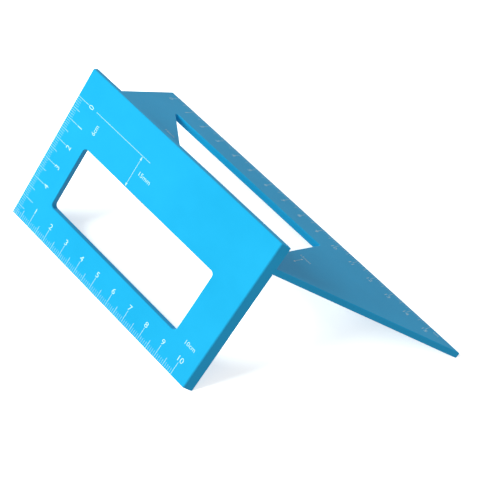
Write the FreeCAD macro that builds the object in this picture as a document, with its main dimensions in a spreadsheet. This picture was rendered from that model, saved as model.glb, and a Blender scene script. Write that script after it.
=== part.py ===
import FreeCAD, Part

import math
import os

import Sketcher

# A marking-out square in T-section: a face plate that hangs against a board's edge, and a mitre plate
# that lies on the board's face. The left end of both plates is square and the right end is cut at 45
# degrees in plan. Each body is drawn in the square's own section frame, in millimetres:
#   +X along the corner, from the square end, +Y from the face plate's front face towards the mitre
#   plate's far edge, +Z up, with z = 0 at the datum line (the mitre plate's underside).
# Its Placement then stands the square on its two scale edges like a tent.

SIZES = {
    # face plate
    "face_length": 107.5,  # along the front face, square end to mitred end
    "fence_drop": 60.0,  # from the datum line down to the scale edge
    "lip_height": 13.0,  # from the datum line up to the free lip
    "face_thick": 2.8,
    "face_window_left": 15.0,  # from the square end
    "face_window_right": 16.0,  # from the mitred end, on the front face
    "face_window_above": 15.0,  # from the datum line
    "face_window_below": 15.0,  # from the scale edge
    "face_window_round": 1.8,
    # mitre plate
    "table_depth": 60.0,  # from the face plate's back to the far scale edge
    "table_thick": 2.8,
    "table_window_left": 15.0,  # its far left corner, from the square end
    "table_window_right": 7.6,  # from the mitred end, where the end meets the face plate's back
    "table_window_near": 15.0,  # from the face plate's back
    "table_window_far": 15.0,  # from the far scale edge
    "table_window_round": 0.8,
    # both
    "end_angle": 45.0,  # between the far scale edge and the mitred end, and the window's slanted side
    "seat_depth": 1.0,  # how far the mitre plate's tapered tongue goes into the face plate's back
    "tongue_tip": 1.6,  # the tongue's thickness at its tip; its root is as thick as the plate
    "edge_break": 0.25,
}

# The underside and the top of the tongue's tip, above the datum line.
TIP_LOW = "(table_thick - tongue_tip) / 2"
TIP_TOP = "(table_thick + tongue_tip) / 2"

SHEET = "Sizes"
TOUCH = 1e-4  # two positions nearer than this are the same

doc = FreeCAD.newDocument("mitre_square")


def make_sheet():
    sheet = doc.addObject("Spreadsheet::Sheet", SHEET)
    for row, (alias, value) in enumerate(SIZES.items(), start=1):
        sheet.set(f"A{row}", alias)
        sheet.set(f"B{row}", str(value))
        sheet.setAlias(f"B{row}", alias)
    doc.recompute()
    return sheet


def sized(text):
    """Turns the names of sizes in an expression into cells of the sheet."""
    for alias in sorted(SIZES, key=len, reverse=True):
        text = text.replace(alias, f"{SHEET}.{alias}")
    return text


def make_body(label):
    body = doc.addObject("PartDesign::Body", label)
    body.Label = label
    return body


def sketch_on(body, plane, name):
    sketch = body.newObject("Sketcher::SketchObject", name)
    planes = {feature.Role: feature for feature in body.Origin.OriginFeatures}
    sketch.AttachmentSupport = [(planes[plane], "")]
    sketch.MapMode = "FlatFace"
    return sketch


def draw_outline(sketch, corners):
    """Draws a closed outline. Each corner is a pair of expressions, measured from the sketch's origin."""
    count = len(corners)
    guess = [(float(index % 3 + 1), float(index // 2 + 1)) for index in range(count)]
    for index in range(count):
        start = FreeCAD.Vector(*guess[index], 0)
        end = FreeCAD.Vector(*guess[(index + 1) % count], 0)
        sketch.addGeometry(Part.LineSegment(start, end), False)
    for index in range(count):
        sketch.addConstraint(Sketcher.Constraint("Coincident", index, 2, (index + 1) % count, 1))
    for index, (across, along) in enumerate(corners):
        for kind, expression, value in (
            ("DistanceX", across, guess[index][0]),
            ("DistanceY", along, guess[index][1]),
        ):
            number = sketch.addConstraint(Sketcher.Constraint(kind, -1, 1, index, 1, value))
            name = f"{kind[-1].lower()}_{index}"
            sketch.renameConstraint(number, name)
            sketch.setExpression(f"Constraints.{name}", sized(expression))
    doc.recompute()


def pad(body, sketch, name, length):
    feature = body.newObject("PartDesign::Pad", name)
    feature.Profile = sketch
    feature.setExpression("Length", sized(length))
    doc.recompute()
    return feature


def pocket_through(body, sketch, name, turned):
    before = body.Shape.Volume
    feature = body.newObject("PartDesign::Pocket", name)
    feature.Profile = sketch
    feature.Type = "ThroughAll"
    feature.Reversed = turned
    doc.recompute()
    if body.Shape.Volume > before - 1.0:
        raise RuntimeError(f"{name} cuts nothing")
    return feature


def edges_where(shape, wanted):
    return [f"Edge{number}" for number, edge in enumerate(shape.Edges, start=1) if wanted(edge.BoundBox)]


def round_edges(body, name, radius, wanted):
    base = body.Tip
    feature = body.newObject("PartDesign::Fillet", name)
    feature.Base = (base, edges_where(base.Shape, wanted))
    feature.setExpression("Radius", sized(radius))
    doc.recompute()


def break_edges(body, name, wanted):
    base = body.Tip
    feature = body.newObject("PartDesign::Chamfer", name)
    feature.Base = (base, edges_where(base.Shape, wanted))
    feature.setExpression("Size", sized("edge_break"))
    doc.recompute()


def flat_at(low, high, value):
    return abs(low - value) < TOUCH and abs(high - value) < TOUCH


def make_face_plate(size):
    """The plate that carries the height scale and the short length scale."""
    body = make_body("face_plate")

    plan = sketch_on(body, "XY_Plane", "face_plan")
    plan.setExpression("AttachmentOffset.Base.z", sized("-fence_drop"))
    draw_outline(
        plan,
        [
            ("0", "0"),
            ("face_length", "0"),
            ("face_length + face_thick / tan(end_angle * 1 deg)", "face_thick"),
            ("0", "face_thick"),
        ],
    )
    pad(body, plan, "face_blank", "fence_drop + lip_height")

    window = sketch_on(body, "XZ_Plane", "face_window_outline")
    left = "face_window_left"
    right = "face_length - face_window_right"
    top = "-face_window_above"
    bottom = "face_window_below - fence_drop"
    draw_outline(window, [(left, bottom), (right, bottom), (right, top), (left, top)])
    pocket_through(body, window, "face_window", turned=False)

    def window_corner(box):
        across_plate = flat_at(box.XMin, box.XMax, box.XMin) and flat_at(box.ZMin, box.ZMax, box.ZMin)
        return across_plate and TOUCH < box.XMin < size.face_length - TOUCH

    round_edges(body, "face_window_corners", "face_window_round", window_corner)

    seat = sketch_on(body, "YZ_Plane", "face_seat_outline")
    floor = "face_thick - seat_depth"
    draw_outline(
        seat,
        [(floor, TIP_LOW), ("face_thick", "0"), ("face_thick", "table_thick"), (floor, TIP_TOP)],
    )
    pocket_through(body, seat, "face_seat", turned=True)

    def outer_edge(box):
        on_front = flat_at(box.YMin, box.YMax, 0)
        on_lip = flat_at(box.ZMin, box.ZMax, size.lip_height)
        on_scale_edge = flat_at(box.ZMin, box.ZMax, -size.fence_drop)
        return on_front or on_lip or on_scale_edge

    break_edges(body, "face_edge_breaks", outer_edge)
    return body


def make_mitre_plate(size):
    """The plate that carries the long scale. Its near edge tapers to a tongue in the face plate's back."""
    body = make_body("mitre_plate")
    near = "face_thick - seat_depth"
    far = "face_thick + table_depth"

    plan = sketch_on(body, "XY_Plane", "mitre_plan")
    near_end = f"face_length + ({near}) / tan(end_angle * 1 deg)"
    far_end = f"face_length + ({far}) / tan(end_angle * 1 deg)"
    draw_outline(plan, [("0", near), (near_end, near), (far_end, far), ("0", far)])
    pad(body, plan, "mitre_blank", "table_thick")

    for name, side, tip in (("lower", "0", TIP_LOW), ("upper", "table_thick", TIP_TOP)):
        bevel = sketch_on(body, "YZ_Plane", f"tongue_{name}_outline")
        draw_outline(bevel, [(near, side), ("face_thick", side), (near, tip)])
        pocket_through(body, bevel, f"tongue_{name}_bevel", turned=True)

    window = sketch_on(body, "XY_Plane", "mitre_window_outline")
    window_near = "face_thick + table_window_near"
    window_far = f"{far} - table_window_far"
    window_right = "face_length + face_thick / tan(end_angle * 1 deg) - table_window_right"
    slant = f"(({window_far}) - ({window_near})) / tan(end_angle * 1 deg)"
    draw_outline(
        window,
        [
            (f"table_window_left + {slant}", window_near),
            (window_right, window_near),
            (window_right, window_far),
            ("table_window_left", window_far),
        ],
    )
    pocket_through(body, window, "mitre_window", turned=True)

    near_y = size.face_thick
    far_y = size.face_thick + size.table_depth

    def window_corner(box):
        upright = flat_at(box.XMin, box.XMax, box.XMin) and flat_at(box.YMin, box.YMax, box.YMin)
        return upright and near_y + TOUCH < box.YMin < far_y - TOUCH

    round_edges(body, "mitre_window_corners", "table_window_round", window_corner)

    def outer_edge(box):
        on_top = flat_at(box.ZMin, box.ZMax, size.table_thick)
        on_underside = flat_at(box.ZMin, box.ZMax, 0)
        at_corner = flat_at(box.YMin, box.YMax, near_y)
        return (on_top or on_underside) and not at_corner

    break_edges(body, "mitre_edge_breaks", outer_edge)
    return body


def standing_place(size):
    """Stands the square on its two scale edges, centred over the origin, with the lip uppermost."""
    tilt = math.atan2(size.fence_drop, size.table_depth)
    sine = math.sin(tilt)
    cosine = math.cos(tilt)
    far_y = size.face_thick + size.table_depth
    tip_x = size.face_length + far_y / math.tan(math.radians(size.end_angle))
    front_y = -sine * size.fence_drop
    back_y = cosine * far_y + sine * size.table_thick
    foot_z = -sine * size.face_thick - cosine * size.fence_drop + size.edge_break * min(sine, cosine)
    turn = FreeCAD.Rotation(FreeCAD.Vector(1, 0, 0), -math.degrees(tilt))
    shift = FreeCAD.Vector(-tip_x / 2, -(front_y + back_y) / 2, -foot_z)
    return FreeCAD.Placement(shift, turn)


def check_document(bodies):
    for item in doc.Objects:
        if "Invalid" in item.State or "Error" in item.State:
            raise RuntimeError(f"{item.Name} failed: {item.State}")
    for body in bodies:
        if body.Shape.isNull() or not body.Shape.isValid() or len(body.Shape.Solids) != 1:
            raise RuntimeError(f"{body.Label} isn't one valid solid")


def main():
    size = make_sheet()
    bodies = [make_face_plate(size), make_mitre_plate(size)]
    place = standing_place(size)
    for body in bodies:
        body.Placement = place
    doc.recompute()
    check_document(bodies)
    os.makedirs("parts", exist_ok=True)
    for body in bodies:
        body.Shape.exportStep(f"parts/{body.Label}.step")
        box = body.Shape.BoundBox
        print(f"{body.Label}: volume {body.Shape.Volume:.1f} mm3, box {box}")


main()
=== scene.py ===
"""The looks of a blue anodised mitre square, standing on its two scale edges. All lengths are in metres."""
import math

import bmesh
import bpy
from mathutils import Matrix, Vector


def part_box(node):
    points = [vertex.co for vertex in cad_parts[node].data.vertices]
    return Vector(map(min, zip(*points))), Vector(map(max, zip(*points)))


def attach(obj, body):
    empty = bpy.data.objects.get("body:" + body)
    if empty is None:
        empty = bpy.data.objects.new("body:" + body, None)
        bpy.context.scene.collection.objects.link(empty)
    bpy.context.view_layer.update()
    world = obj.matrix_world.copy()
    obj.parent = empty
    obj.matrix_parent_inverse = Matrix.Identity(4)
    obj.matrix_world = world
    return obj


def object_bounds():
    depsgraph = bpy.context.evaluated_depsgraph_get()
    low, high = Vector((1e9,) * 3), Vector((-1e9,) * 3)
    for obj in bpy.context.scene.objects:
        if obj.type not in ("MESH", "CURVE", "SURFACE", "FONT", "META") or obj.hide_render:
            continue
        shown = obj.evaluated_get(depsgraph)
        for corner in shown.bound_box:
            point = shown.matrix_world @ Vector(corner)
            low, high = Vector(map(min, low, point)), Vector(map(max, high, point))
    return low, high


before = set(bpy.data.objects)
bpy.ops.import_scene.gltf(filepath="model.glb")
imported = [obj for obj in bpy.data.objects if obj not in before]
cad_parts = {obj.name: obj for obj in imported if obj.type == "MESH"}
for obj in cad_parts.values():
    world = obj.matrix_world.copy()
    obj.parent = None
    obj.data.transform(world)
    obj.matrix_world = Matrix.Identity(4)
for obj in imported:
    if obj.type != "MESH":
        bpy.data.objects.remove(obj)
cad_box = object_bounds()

MM = 0.001
BODY = "root"
FACE = "face_plate"
MITRE = "mitre_plate"

# The square's own section, as the two plates are made.
TILT = math.radians(45)
THICK = 2.8 * MM
DROP = 60 * MM  # from the datum line to the face plate's scale edge
DEPTH = 60 * MM  # from the face plate's back to the mitre plate's scale edge
EDGE_BREAK = 0.25 * MM

# The etched marks. Each one is sunk in its plate and stands only just proud of it.
MARK_PROUD = 0.02 * MM
MARK_SUNK = 0.05 * MM
LINE_WIDTH = 0.17 * MM
FINE_WIDTH = 0.11 * MM  # of the millimetre ticks
MARK_EDGE_GAP = 0.35 * MM  # ticks start clear of the broken edge
TICKS = {"short": 2.8 * MM, "middle": 4.4 * MM, "long": 6.6 * MM}
MITRE_TICK_SHARE = 0.85  # the mitre plate's ticks against the face plate's
FIGURE_HEIGHT = 2.5 * MM
FIGURE_MIDDLE = 8.2 * MM  # from the scale's edge to the middle of its figures
MITRE_FIGURE_HEIGHT = 2.2 * MM
MITRE_FIGURE_MIDDLE = 6.7 * MM
LABEL_HEIGHT = 1.9 * MM
SMALL_LABEL_HEIGHT = 1.6 * MM
CAP_HEIGHT = 0.69  # height of a figure in a text object of size 1
WELD_WITHIN = 1e-7


# ---------------------------------------------------------------- places on the plates

def section_matrix():
    """From the section's axes to the frame: X along the corner, Y into the board, Z up from the datum line."""
    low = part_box(MITRE)[0]
    turn = Matrix.Rotation(-TILT, 4, "X")
    side = math.sin(TILT)
    origin = Vector((low.x, -side * THICK, side * (THICK + DROP - EDGE_BREAK)))
    return Matrix.Translation(origin) @ turn


def face_matrix():
    """A drawing plane on the face plate's front: x along it, y up from the datum line, z out of it."""
    return section_matrix() @ Matrix.Rotation(math.radians(90), 4, "X")


def mitre_matrix():
    """A drawing plane on the mitre plate's top: x along it, y from the face plate's back, z out of it."""
    return section_matrix() @ Matrix.Translation((0, THICK, THICK))


# ---------------------------------------------------------------- marks

class Marks:
    """Collects etched lines and figures in one drawing plane, and joins them into one closed mesh piece."""

    def __init__(self, name, plane):
        self.name = name
        self.plane = plane
        self.verts = []
        self.faces = []

    def prism(self, outline):
        """A thin raised shape with this counter-clockwise outline."""
        first = len(self.verts)
        count = len(outline)
        for height in (-MARK_SUNK, MARK_PROUD):
            self.verts += [Vector((x, y, height)) for x, y in outline]
        lower = [first + i for i in range(count)]
        upper = [first + count + i for i in range(count)]
        self.faces.append(list(reversed(lower)))
        self.faces.append(upper)
        for i in range(count):
            j = (i + 1) % count
            self.faces.append([lower[i], lower[j], upper[j], upper[i]])

    def line(self, start, end, width=LINE_WIDTH):
        start, end = Vector(start), Vector(end)
        along = (end - start).normalized()
        side = Vector((-along.y, along.x)) * width / 2
        self.prism([start - side, end - side, end + side, start + side])

    def arrow_head(self, tip, direction, length=1.7 * MM, width=0.9 * MM):
        tip, direction = Vector(tip), Vector(direction)
        side = Vector((-direction.y, direction.x)) * width / 2
        back = tip - direction * length
        self.prism([tip, back + side, back - side])

    def text(self, words, centre, height, turn=0.0):
        """Figures with their middle at centre, reading along the direction that turn gives."""
        curve = bpy.data.curves.new("figures", "FONT")
        curve.body = words
        curve.size = height / CAP_HEIGHT
        curve.align_x = "CENTER"
        curve.extrude = (MARK_PROUD + MARK_SUNK) / 2
        curve.resolution_u = 3
        maker = bpy.data.objects.new("figures", curve)
        bpy.context.scene.collection.objects.link(maker)
        bpy.context.view_layer.update()
        mesh = bpy.data.meshes.new_from_object(maker.evaluated_get(bpy.context.evaluated_depsgraph_get()))
        place = Matrix.Translation((centre[0], centre[1], (MARK_PROUD - MARK_SUNK) / 2))
        place = place @ Matrix.Rotation(turn, 4, "Z") @ Matrix.Translation((0, -height / 2, 0))
        first = len(self.verts)
        self.verts += [place @ vertex.co for vertex in mesh.vertices]
        self.faces += [[first + index for index in polygon.vertices] for polygon in mesh.polygons]
        bpy.data.objects.remove(maker)
        bpy.data.curves.remove(curve)
        bpy.data.meshes.remove(mesh)

    def finish(self, material):
        mesh = bpy.data.meshes.new(self.name)
        mesh.from_pydata([self.plane @ vertex for vertex in self.verts], [], self.faces)
        weld(mesh)
        mesh.materials.append(material)
        piece = bpy.data.objects.new(self.name, mesh)
        bpy.context.scene.collection.objects.link(piece)
        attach(piece, BODY)
        return piece


def weld(mesh):
    """Joins the text's front, back and sides, which come as separate sheets, into closed solids."""
    work = bmesh.new()
    work.from_mesh(mesh)
    bmesh.ops.remove_doubles(work, verts=work.verts, dist=WELD_WITHIN)
    bmesh.ops.dissolve_degenerate(work, edges=work.edges, dist=WELD_WITHIN)
    bmesh.ops.recalc_face_normals(work, faces=work.faces)
    work.to_mesh(mesh)
    work.free()


def tick_size(number):
    """The length and the width of the tick at this many millimetres."""
    if number % 10 == 0:
        return TICKS["long"], LINE_WIDTH
    return (TICKS["middle"], LINE_WIDTH) if number % 5 == 0 else (TICKS["short"], FINE_WIDTH)


def face_length_scale(material):
    """0 to 10 cm along the face plate's lower edge, from its square end."""
    marks = Marks("face_length_scale", face_matrix())
    edge = -DROP + MARK_EDGE_GAP
    for number in range(1, 101):
        x = number * MM
        length, width = tick_size(number)
        marks.line((x, edge), (x, -DROP + length), width)
    for number in range(1, 11):
        marks.text(str(number), (number * 10 * MM, -DROP + FIGURE_MIDDLE), FIGURE_HEIGHT)
    marks.text("10cm", (100.2 * MM, -44.5 * MM), LABEL_HEIGHT)
    return marks.finish(material)


def face_height_scale(material):
    """0 to 6 cm down the face plate's square end, from the datum line."""
    marks = Marks("face_height_scale", face_matrix())
    quarter = math.radians(90)
    for number in range(0, 60):
        y = -number * MM
        length, width = tick_size(number)
        marks.line((MARK_EDGE_GAP, y), (length, y), width)
    for number in range(0, 5):
        marks.text(str(number), (FIGURE_MIDDLE, -number * 10 * MM), FIGURE_HEIGHT, quarter)
    marks.text("6cm", (15.0 * MM, -6.2 * MM), LABEL_HEIGHT, quarter)
    return marks.finish(material)


def datum_and_arrow(material):
    """The long datum line, and the arrow from it to the window's upper side."""
    marks = Marks("datum_and_arrow", face_matrix())
    arrow_x = 39.5 * MM
    window_top = -15 * MM
    head = 1.7 * MM
    marks.line((11.4 * MM, 0), (43.8 * MM, 0))
    marks.line((arrow_x, -head), (arrow_x, window_top + head))
    marks.arrow_head((arrow_x, -LINE_WIDTH), (0, 1), head)
    marks.arrow_head((arrow_x, window_top + LINE_WIDTH), (0, -1), head)
    marks.text("15mm", (45.0 * MM, -6.4 * MM), LABEL_HEIGHT)
    return marks.finish(material)


def mitre_length_scale(material):
    """0 to 15 cm along the mitre plate's far edge."""
    marks = Marks("mitre_length_scale", mitre_matrix())
    zero = 5 * MM
    edge = DEPTH - MARK_EDGE_GAP
    for number in range(0, 151):
        x = zero + number * MM
        length, width = tick_size(number)
        marks.line((x, edge), (x, DEPTH - MITRE_TICK_SHARE * length), width)
    for number in range(0, 16):
        centre = (zero + number * 10 * MM, DEPTH - MITRE_FIGURE_MIDDLE)
        marks.text(str(number), centre, MITRE_FIGURE_HEIGHT)
    marks.text("cm", (158.9 * MM, DEPTH - 2.2 * MM), SMALL_LABEL_HEIGHT)
    return marks.finish(material)


def mitre_window_labels(material):
    """The small labels beside the two ends of the mitre plate's window."""
    marks = Marks("mitre_window_labels", mitre_matrix())
    row = 24.8 * MM
    arrow_x = 108.1 * MM
    marks.text("15mm", (29.0 * MM, row), SMALL_LABEL_HEIGHT)
    marks.text("15mm", (108.3 * MM, row), SMALL_LABEL_HEIGHT)
    low = 15.6 * MM
    high = 23.2 * MM
    head = 1.4 * MM
    marks.line((arrow_x, low + head), (arrow_x, high - head))
    marks.arrow_head((arrow_x, high), (0, 1), head)
    marks.arrow_head((arrow_x, low), (0, -1), head)
    return marks.finish(material)


# ---------------------------------------------------------------- materials

def new_material(name):
    material = bpy.data.materials.new(name)
    material.use_nodes = True
    tree = material.node_tree
    return material, tree, tree.nodes["Principled BSDF"]


def add_node(tree, kind, **values):
    node = tree.nodes.new(kind)
    for key, value in values.items():
        node.inputs[key.replace("_", " ")].default_value = value
    return node


def ramp(tree, fac, low, high, start=0.3, end=0.7):
    node = tree.nodes.new("ShaderNodeValToRGB")
    node.color_ramp.elements[0].position = start
    node.color_ramp.elements[1].position = end
    node.color_ramp.elements[0].color = (*low, 1)
    node.color_ramp.elements[1].color = (*high, 1)
    tree.links.new(fac, node.inputs["Fac"])
    return node


def anodised_blue():
    """Fine bead-blasted aluminium with a satin blue anodised skin: a faint mottle and a fine grain."""
    material, tree, shader = new_material("anodised_blue")
    shader.inputs["Metallic"].default_value = 0.35
    shader.inputs["Specular IOR Level"].default_value = 0.5
    shader.inputs["Coat Weight"].default_value = 0.06
    shader.inputs["Coat Roughness"].default_value = 0.3
    place = tree.nodes.new("ShaderNodeTexCoord")
    mottle = add_node(tree, "ShaderNodeTexNoise", Scale=28.0, Detail=4.0, Roughness=0.6)
    grain = add_node(tree, "ShaderNodeTexNoise", Scale=5200.0, Detail=2.0, Roughness=0.5)
    for texture in (mottle, grain):
        tree.links.new(place.outputs["Object"], texture.inputs["Vector"])
    colour = ramp(tree, mottle.outputs["Fac"], (0.004, 0.385, 0.745), (0.008, 0.425, 0.81))
    tree.links.new(colour.outputs["Color"], shader.inputs["Base Color"])
    rough = ramp(tree, grain.outputs["Fac"], (0.34,) * 3, (0.44,) * 3)
    tree.links.new(rough.outputs["Color"], shader.inputs["Roughness"])
    bump = add_node(tree, "ShaderNodeBump", Strength=0.06, Distance=0.00002)
    tree.links.new(grain.outputs["Fac"], bump.inputs["Height"])
    tree.links.new(bump.outputs["Normal"], shader.inputs["Normal"])
    return material


def etched():
    """Pale laser-etched aluminium, matt, with a speckle."""
    material, tree, shader = new_material("scale_marks")
    shader.inputs["Metallic"].default_value = 0.1
    place = tree.nodes.new("ShaderNodeTexCoord")
    speckle = add_node(tree, "ShaderNodeTexNoise", Scale=3000.0, Detail=2.0, Roughness=0.5)
    tree.links.new(place.outputs["Object"], speckle.inputs["Vector"])
    colour = ramp(tree, speckle.outputs["Fac"], (0.34, 0.58, 0.74), (0.48, 0.70, 0.84))
    tree.links.new(colour.outputs["Color"], shader.inputs["Base Color"])
    rough = ramp(tree, speckle.outputs["Fac"], (0.5,) * 3, (0.65,) * 3)
    tree.links.new(rough.outputs["Color"], shader.inputs["Roughness"])
    return material


def pale_floor():
    material, tree, shader = new_material("pale_floor")
    shader.inputs["Roughness"].default_value = 0.9
    shader.inputs["Emission Color"].default_value = (1, 1, 1, 1)
    shader.inputs["Emission Strength"].default_value = 0.55
    place = tree.nodes.new("ShaderNodeTexCoord")
    mottle = add_node(tree, "ShaderNodeTexNoise", Scale=3.0, Detail=2.0)
    tree.links.new(place.outputs["Object"], mottle.inputs["Vector"])
    colour = ramp(tree, mottle.outputs["Fac"], (0.93, 0.93, 0.93), (0.95, 0.95, 0.95))
    tree.links.new(colour.outputs["Color"], shader.inputs["Base Color"])
    return material


# ---------------------------------------------------------------- stage, light and camera

def make_floor(material):
    half = 3.0
    corners = [(-half, -half, 0), (half, -half, 0), (half, half, 0), (-half, half, 0)]
    mesh = bpy.data.meshes.new("floor")
    mesh.from_pydata(corners, [], [(0, 1, 2, 3)])
    mesh.materials.append(material)
    floor = bpy.data.objects.new("floor", mesh)
    bpy.context.scene.collection.objects.link(floor)
    floor.visible_diffuse = False  # the floor throws no light back up on the square's shaded ends
    floor.visible_glossy = False


def area_light(name, place, aim, size, power, colour):
    lamp = bpy.data.lights.new(name, "AREA")
    lamp.color = colour
    lamp.shape = "DISK"
    lamp.size = size
    lamp.energy = power
    holder = bpy.data.objects.new(name, lamp)
    holder.location = place
    holder.rotation_euler = (Vector(aim) - Vector(place)).to_track_quat("-Z", "Y").to_euler()
    holder.visible_glossy = False  # the satin sheen comes from the even surroundings, with no hot spot
    bpy.context.scene.collection.objects.link(holder)


def make_lights():
    world = bpy.data.worlds.new("soft_studio")
    bpy.context.scene.world = world
    world.use_nodes = True
    world.node_tree.nodes["Background"].inputs["Color"].default_value = (1, 1, 1, 1)
    world.node_tree.nodes["Background"].inputs["Strength"].default_value = 0.43
    area_light("side_softbox", (-1.54, -0.88, 1.32), (0, 0, 0.03), 1.4, 112.0, (0.94, 1.0, 0.90))
    bpy.context.scene.view_settings.view_transform = "Standard"


def make_camera():
    """A long lens looking steeply down on the face plate's side, with a slight roll."""
    azimuth = math.radians(-41.41)  # of the camera, from +X towards +Y
    elevation = math.radians(61.37)
    roll = math.radians(-1.42)
    distance = 477.3 * MM
    low, high = cad_box
    target = (Vector(low) + Vector(high)) / 2 + Vector((-0.2, 6.84, 0)) * MM
    level = math.cos(elevation)
    out = Vector((level * math.cos(azimuth), level * math.sin(azimuth), math.sin(elevation)))
    data = bpy.data.cameras.new("camera")
    data.sensor_width = 36
    data.lens = 92.33
    camera = bpy.data.objects.new("camera", data)
    bpy.context.scene.collection.objects.link(camera)
    aim = (-out).to_track_quat("-Z", "Y").to_matrix().to_4x4()
    camera.matrix_world = Matrix.Translation(target + out * distance) @ aim @ Matrix.Rotation(roll, 4, "Z")
    bpy.context.scene.camera = camera


def dress_plates(material):
    for node in (FACE, MITRE):
        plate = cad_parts[node]
        plate.data.materials.clear()
        plate.data.materials.append(material)


dress_plates(anodised_blue())
mark_material = etched()
face_length_scale(mark_material)
face_height_scale(mark_material)
datum_and_arrow(mark_material)
mitre_length_scale(mark_material)
mitre_window_labels(mark_material)
make_floor(pale_floor())
make_lights()
make_camera()
